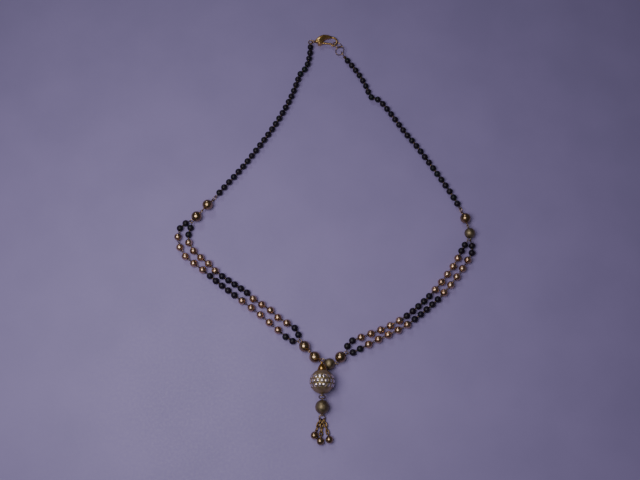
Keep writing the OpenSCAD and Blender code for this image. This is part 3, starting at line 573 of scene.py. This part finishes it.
hoop(bm, pendant + out * (PENDANT_R - FOOT_SUNK), out, FOOT_R, FOOT_WIRE, *COLLAR_SEGMENTS)

set_finish, _ = finish("set_gold", SET_TINTS, patches=300, rough=(0.42, 0.58), rubs=1200,
                       dents=1100, depth=0.08 * MM)
setting = shown("pendant_ball_setting", kept_mesh("pendant_ball_setting", bm), set_finish)
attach(setting, "necklace")
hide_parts("pendant_ball")

# Stones of the ball. Round clear stones, 1.5 mm across, cut with a table, a crown of
# kites and a pointed back that is silvered, and held in the three rows of seats.
STONE_TINTS = [(0.82, 0.66, 0.76), (0.96, 0.86, 0.94)]
STONE_COAT_ROUGH = 0.12
CULET = Vector((0, 0, -0.6)) * MM
# Rings of corners from the table down: share of the radius, height in mm, count, turn
CUT_RINGS = [
    (0.34, 0.30, 8, 0), (0.62, 0.235, 8, 22.5), (0.84, 0.15, 16, 0), (1.0, 0.08, 16, 11.25),
    (1.0, 0.02, 16, 11.25),
]

bm = bmesh.new()
for share, height, count, turned in CUT_RINGS:
    made = bmesh.ops.create_circle(bm, segments=count, radius=share * STONE_R)
    turn = Matrix.Translation((0, 0, height * MM)) @ Matrix.Rotation(math.radians(turned), 4, "Z")
    bmesh.ops.transform(bm, matrix=turn, verts=made["verts"])
bm.verts.new(CULET)
bmesh.ops.convex_hull(bm, input=bm.verts)
bmesh.ops.recalc_face_normals(bm, faces=bm.faces)
cut_stone = bpy.data.meshes.new("cut_stone")
bm.to_mesh(cut_stone)
bm.free()

stone_finish, inputs = finish("clear_stone", STONE_TINTS, patches=350, rough=(0.14, 0.28),
                              rubs=800, metal=0.72)
inputs["IOR"].default_value = 1.8
inputs["Transmission Weight"].default_value = 0.7
lacquered(inputs, 1.0, STONE_COAT_ROUGH)
for row in STONE_ROWS:
    bm = bmesh.new()
    for place in stone_places[row]:
        way = place.normalized()
        seat = Matrix.Translation(pendant + way * PENDANT_R)
        turn = way.to_track_quat("Z", "Y").to_matrix().to_4x4()
        placed(bm, cut_stone, seat @ turn @ Matrix.Rotation(chance.uniform(0, 1), 4, "Z"))
    mesh = bpy.data.meshes.new(f"{row}_cut")
    bm.to_mesh(mesh)
    bm.free()
    stones = shown(f"{row}_cut", mesh, stone_finish)
    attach(stones, "necklace")
    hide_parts(row)

# Tassel chains. Small oval links of soldered wire, each turned a quarter against the
# next, three short chains that hang on one ring and end in the small balls. Their wire
# is thicker than the solids', so each chain is raised until it lies on the table.
LINK_TINTS = [(0.17, 0.105, 0.05), (0.36, 0.235, 0.11)]
LINK_FULLER, LINK_WIDER = 1.8, 1.15
HALF_FROM = 0.1
LINK_SEGMENTS = (20, 10)

link_finish, _ = finish("gold_link", LINK_TINTS, patches=600, rough=(0.32, 0.48), rubs=1800,
                        dents=1500, depth=0.04 * MM)


def oval_link(bm, points):
    """Oval link in the place of a CAD link: a hoop with its halves drawn apart"""
    middle = points.mean(0)
    axes = np.linalg.svd(points - middle, full_matrices=False)[2]
    spans = [float(np.ptp((points - middle) @ axis)) * LINK_WIDER for axis in axes]
    wire = spans[2] * LINK_FULLER / LINK_WIDER
    radius = (spans[1] - wire) / 2
    stretch = (spans[0] - wire) / 2 - radius
    link = bmesh.new()
    hoop(link, Vector((0, 0, 0)), Vector((0, 0, 1)), radius, wire, *LINK_SEGMENTS)
    for side in (-1, 1):
        ends = [vert for vert in link.verts if vert.co.x * side > HALF_FROM * radius]
        bmesh.ops.translate(link, verts=ends, vec=(side * stretch, 0, 0))
    oval = kept_mesh("link", link)
    long, wide = Vector(axes[0]), Vector(axes[1])
    turn = Matrix((long, wide, long.cross(wide))).transposed().to_4x4()
    placed(bm, oval, Matrix.Translation(middle) @ turn)
    bpy.data.meshes.remove(oval)


for node in ("tassel_chain_left", "tassel_chain_middle", "tassel_chain_right"):
    bm = bmesh.new()
    for solid in solids_of(node):
        oval_link(bm, solid)
    lowest = min(vert.co.z for vert in bm.verts)
    bmesh.ops.translate(bm, verts=bm.verts, vec=(0, 0, max(0, -lowest)))
    chain = shown(f"{node}_links", kept_mesh(node, bm), link_finish)
    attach(chain, "necklace")
    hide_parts(node)

# Clasp body. A lobster clasp cast in one piece: a ring at its tail, a full rounded body
# that narrows into an arm, and a hook that curls back to meet the lever. The lever's
# slot is cut through its middle, and a pin is riveted through both cheeks.
HINGE = Vector(frame["joints"][0]["pos_m"])
PIN_OFFSET = Vector((3.6, -0.7, 0)) * MM
TAIL = HINGE - PIN_OFFSET
LEVER_WAY = Vector((9.865, -1.547, 0)) * MM - PIN_OFFSET
LEVER_TURN = math.atan2(LEVER_WAY.y, LEVER_WAY.x)
LEVER_OPENS = math.radians(25)
HOOK_MIDDLE = Vector((10, 0, 0)) * MM
HOOK_BAR = 2.625 * MM
# Sections of the body: place along and across, half width, half thickness in mm, turn
BODY_SECTIONS = [
    (0.75, 0.00, 0.30, 0.35, 0), (1.10, 0.06, 0.58, 0.66, 4), (1.70, 0.22, 1.05, 1.00, 12),
    (2.50, 0.48, 1.50, 1.25, 20), (3.30, 0.88, 1.82, 1.38, 25), (4.10, 1.45, 1.92, 1.40, 25),
    (4.90, 2.05, 1.80, 1.40, 19), (5.80, 2.55, 1.56, 1.36, 9), (6.80, 2.80, 1.30, 1.22, 0),
    (7.90, 2.85, 1.02, 1.00, -6), (9.00, 2.76, 0.76, 0.74, -7), (10.0, 2.63, 0.50, 0.46, 0),
]
# Sections of the hook: angle about its middle, half width and half thickness in mm
HOOK_SECTIONS = [
    (68, 0.47, 0.40), (45, 0.47, 0.40), (22, 0.47, 0.40), (0, 0.47, 0.40), (-22, 0.47, 0.40),
    (-45, 0.47, 0.40), (-66, 0.46, 0.39), (-84, 0.42, 0.36), (-95, 0.34, 0.28), (-99, 0.2, 0.16),
]
OVAL_SIDES = 20
BODY_SQUARE, LEVER_SQUARE = 0.86, 0.6
BOSS_R, BOSS_H, BOSS_EDGE = 1.35 * MM, 2.8 * MM, 0.45 * MM
PIN_R, PIN_H, PIN_EDGE = 0.35 * MM, 2.78 * MM, 0.12 * MM
SLOT_R, SLOT_H, SLOT_L = 1.22 * MM, 1.14 * MM, 4.4 * MM
TAIL_EYE_R, TAIL_EYE_WIRE = 0.8 * MM, 0.45 * MM
TAIL_EYE_SEGMENTS = (28, 12)
CLASP_SHARP = 38
CLASP_TINTS = [(0.42, 0.24, 0.065), (0.60, 0.37, 0.12), (0.74, 0.50, 0.20)]

bm = bmesh.new()
sections = [((x * MM, y * MM), turn, w * MM, t * MM) for x, y, w, t, turn in BODY_SECTIONS]
for angle, w, t in HOOK_SECTIONS:
    a = math.radians(angle)
    at = (HOOK_MIDDLE.x + HOOK_BAR * math.cos(a), HOOK_BAR * math.sin(a))
    sections.append((at, angle - 90, w * MM, t * MM))


def section_place(at, turn, w, t):
    """Place of an oval section: across the way, up, and along the way"""
    a = math.radians(turn)
    across = Vector((-math.sin(a), math.cos(a), 0))
    along = Vector((math.cos(a), math.sin(a), 0))
    matrix = Matrix((across * w, Vector((0, 0, t)), along * MM)).transposed().to_4x4()
    return Matrix.Translation((*at, 0)) @ matrix


def lofted(bm, sections, sides, square):
    """Closed body drawn through oval sections, which are squarer the smaller their power"""
    made = bmesh.ops.create_circle(bm, segments=sides, radius=1)
    for vert in made["verts"]:
        vert.co.x = math.copysign(abs(vert.co.x) ** square, vert.co.x)
        vert.co.y = math.copysign(abs(vert.co.y) ** square, vert.co.y)
    place = section_place(*sections[0])
    bmesh.ops.transform(bm, matrix=place, verts=made["verts"])
    edges = list(dict.fromkeys(edge for vert in made["verts"] for edge in vert.link_edges))
    bmesh.ops.contextual_create(bm, geom=edges)
    for section in sections[1:]:
        out = bmesh.ops.extrude_edge_only(bm, edges=edges)["geom"]
        verts = [item for item in out if isinstance(item, bmesh.types.BMVert)]
        edges = [item for item in out if isinstance(item, bmesh.types.BMEdge)]
        after = section_place(*section)
        bmesh.ops.transform(bm, matrix=after @ place.inverted(), verts=verts)
        place = after
    bmesh.ops.contextual_create(bm, geom=edges)
    bmesh.ops.recalc_face_normals(bm, faces=bm.faces)


def part(name, bm):
    """A loose part that is joined to or cut from another"""
    mesh = bpy.data.meshes.new(name)
    bm.to_mesh(mesh)
    bm.free()
    obj = bpy.data.objects.new(name, mesh)
    bpy.context.scene.collection.objects.link(obj)
    return obj


def worked(name, base, steps):
    """Mesh of a base after its joins and cuts, moved to the clasp's place"""
    for operation, other in steps:
        step = base.modifiers.new(operation, "BOOLEAN")
        step.operation = operation
        step.solver = "EXACT"
        step.object = other
    bpy.context.view_layer.update()
    result = base.evaluated_get(bpy.context.evaluated_depsgraph_get()).to_mesh()
    bm = bmesh.new()
    bm.from_mesh(result)
    bmesh.ops.translate(bm, verts=bm.verts, vec=TAIL)
    base.to_mesh_clear()
    for obj in [base] + [other for _, other in steps]:
        bpy.data.objects.remove(obj)
    return kept_mesh(name, bm, CLASP_SHARP)


def disc(name, radius, height, edge=0.0):
    """Short round part about the pin, with its edge rounded over"""
    bm = bmesh.new()
    bmesh.ops.create_cone(bm, cap_ends=True, segments=36, radius1=radius, radius2=radius,
                          depth=height)
    if edge:
        rims = [rim for rim in bm.edges if abs(rim.calc_face_angle(0)) > 1]
        bmesh.ops.bevel(bm, geom=rims, offset=edge, offset_type="OFFSET", affect="EDGES",
                        segments=3, profile=0.5, material=-1)
    bmesh.ops.translate(bm, verts=bm.verts, vec=PIN_OFFSET)
    return part(name, bm)


lofted(bm, sections, OVAL_SIDES, BODY_SQUARE)
body = part("clasp_loft", bm)
boss = disc("clasp_boss", BOSS_R, BOSS_H, BOSS_EDGE)
cuts = [("DIFFERENCE", disc("clasp_round_room", SLOT_R, SLOT_H))]
for turn in (LEVER_TURN, LEVER_TURN + LEVER_OPENS):
    bar = bmesh.new()
    bmesh.ops.create_cube(bar, size=1)
    stretch = Matrix.Translation((SLOT_L / 2, 0, 0)) @ Matrix.Diagonal((SLOT_L, SLOT_H, SLOT_H, 1))
    place = Matrix.Translation(PIN_OFFSET) @ Matrix.Rotation(turn, 4, "Z")
    bmesh.ops.transform(bar, matrix=place @ stretch, verts=bar.verts)
    cuts.append(("DIFFERENCE", part("clasp_bar_room", bar)))
pin = disc("clasp_pin", PIN_R, PIN_H, PIN_EDGE)
mesh = worked("clasp_casting", body, [("UNION", boss), *cuts, ("UNION", pin)])
bm = bmesh.new()
bm.from_mesh(mesh)
hoop(bm, TAIL, Vector((0, 1, 0)), TAIL_EYE_R, TAIL_EYE_WIRE, *TAIL_EYE_SEGMENTS)
bm.to_mesh(mesh)
bm.free()

clasp_finish, inputs = finish("clasp_gold", CLASP_TINTS, patches=380, rough=(0.26, 0.40),
                              rubs=900, dents=480, depth=0.12 * MM)
lacquered(inputs)
casting = shown("clasp_casting", mesh, clasp_finish)
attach(casting, "necklace")
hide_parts("clasp_body")

# Clasp lever. A stamped tongue that turns on the pin in the body's slot. A spring keeps
# its end shut against the inside of the hook's end.
LEVER_L = LEVER_WAY.length / MM
LEVER_SIDES = 16
HOLE_R, HOLE_H = 0.47 * MM, 2 * MM
# Sections of the lever: place from the pin, half width and half thickness in mm
LEVER_SECTIONS = [
    (-1.06, 0.25, 0.36), (-0.95, 0.52, 0.45), (-0.6, 0.90, 0.45), (0.0, 1.08, 0.45),
    (0.6, 0.88, 0.45), (1.1, 0.56, 0.45), (1.7, 0.44, 0.44), (3.2, 0.41, 0.42),
    (LEVER_L - 0.4, 0.43, 0.43), (LEVER_L + 0.1, 0.40, 0.40), (LEVER_L + 0.36, 0.22, 0.24),
]

bm = bmesh.new()
sections = [((x * MM, 0), 0, w * MM, t * MM) for x, w, t in LEVER_SECTIONS]
lofted(bm, sections, LEVER_SIDES, LEVER_SQUARE)
place = Matrix.Translation(PIN_OFFSET) @ Matrix.Rotation(LEVER_TURN, 4, "Z")
bmesh.ops.transform(bm, matrix=place, verts=bm.verts)
tongue = part("lever_loft", bm)
hole = disc("lever_hole", HOLE_R, HOLE_H)
mesh = worked("clasp_tongue", tongue, [("DIFFERENCE", hole)])
lever = shown("clasp_tongue", mesh, clasp_finish)
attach(lever, "lever")
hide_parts("clasp_lever")

# Floor. A plain pale sheet with a faint grain, on which the necklace lies. The photo's
# camera gives it a lilac cast.
FLOOR_SIZE = 6.0
FLOOR_TINTS = [(0.325, 0.270, 0.550), (0.352, 0.290, 0.590)]

bm = bmesh.new()
bmesh.ops.create_grid(bm, x_segments=1, y_segments=1, size=FLOOR_SIZE / 2)
floor_finish, _ = finish("pale_sheet", FLOOR_TINTS, patches=30, rough=(0.55, 0.75), rubs=900,
                         dents=2500, depth=0.01 * MM, metal=0, spread=(0.35, 0.65), detail=4)
floor = shown("floor", kept_mesh("floor", bm), floor_finish)
floor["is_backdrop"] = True

# Light. One soft lamp nearly overhead, low and a little to the left, so that the right
# side falls off. A weaker lamp far beyond the clasp and a dim room fill the shadows.
LAMPS = [  # name, place, size across, watts, colour
    ("key", (-0.100, -0.072, 0.28), 0.22, 0.53, (1.0, 0.96, 0.93)),
    ("fill", (-0.50, 1.10, 1.00), 0.42, 2.4, (0.95, 0.95, 1.0)),
]
ROOM = (0.050, 0.048, 0.054, 1)

for name, at, size, watts, colour in LAMPS:
    light = bpy.data.lights.new(name, "AREA")
    light.shape = "DISK"
    light.size = size
    light.energy = watts
    light.color = colour
    lamp = bpy.data.objects.new(name, light)
    lamp.location = at
    lamp.rotation_euler = (-Vector(at)).to_track_quat("-Z", "Y").to_euler()
    bpy.context.scene.collection.objects.link(lamp)
world = bpy.data.worlds.new("room")
world.use_nodes = True
world.node_tree.nodes["Background"].inputs["Color"].default_value = ROOM
bpy.context.scene.world = world

# Camera. Held above the lower end of the necklace and tilted a little towards the clasp.
EYE_AT = Vector((-2.25, -112.2, 286.6)) * MM
TILT = 19.55

camera = bpy.data.cameras.new("camera")
camera.sensor_width = 36
camera.lens = 36
camera.clip_start = 0.01
view = bpy.data.objects.new("camera", camera)
view.location = EYE_AT
view.rotation_euler = (math.radians(TILT), 0, 0)
bpy.context.scene.collection.objects.link(view)
bpy.context.scene.camera = view

sizes = {"cad": cad_box, "visual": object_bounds()}
({key: [list(corner) if hasattr(corner, "__len__") else corner for corner in value]
           for key, value in sizes.items()})
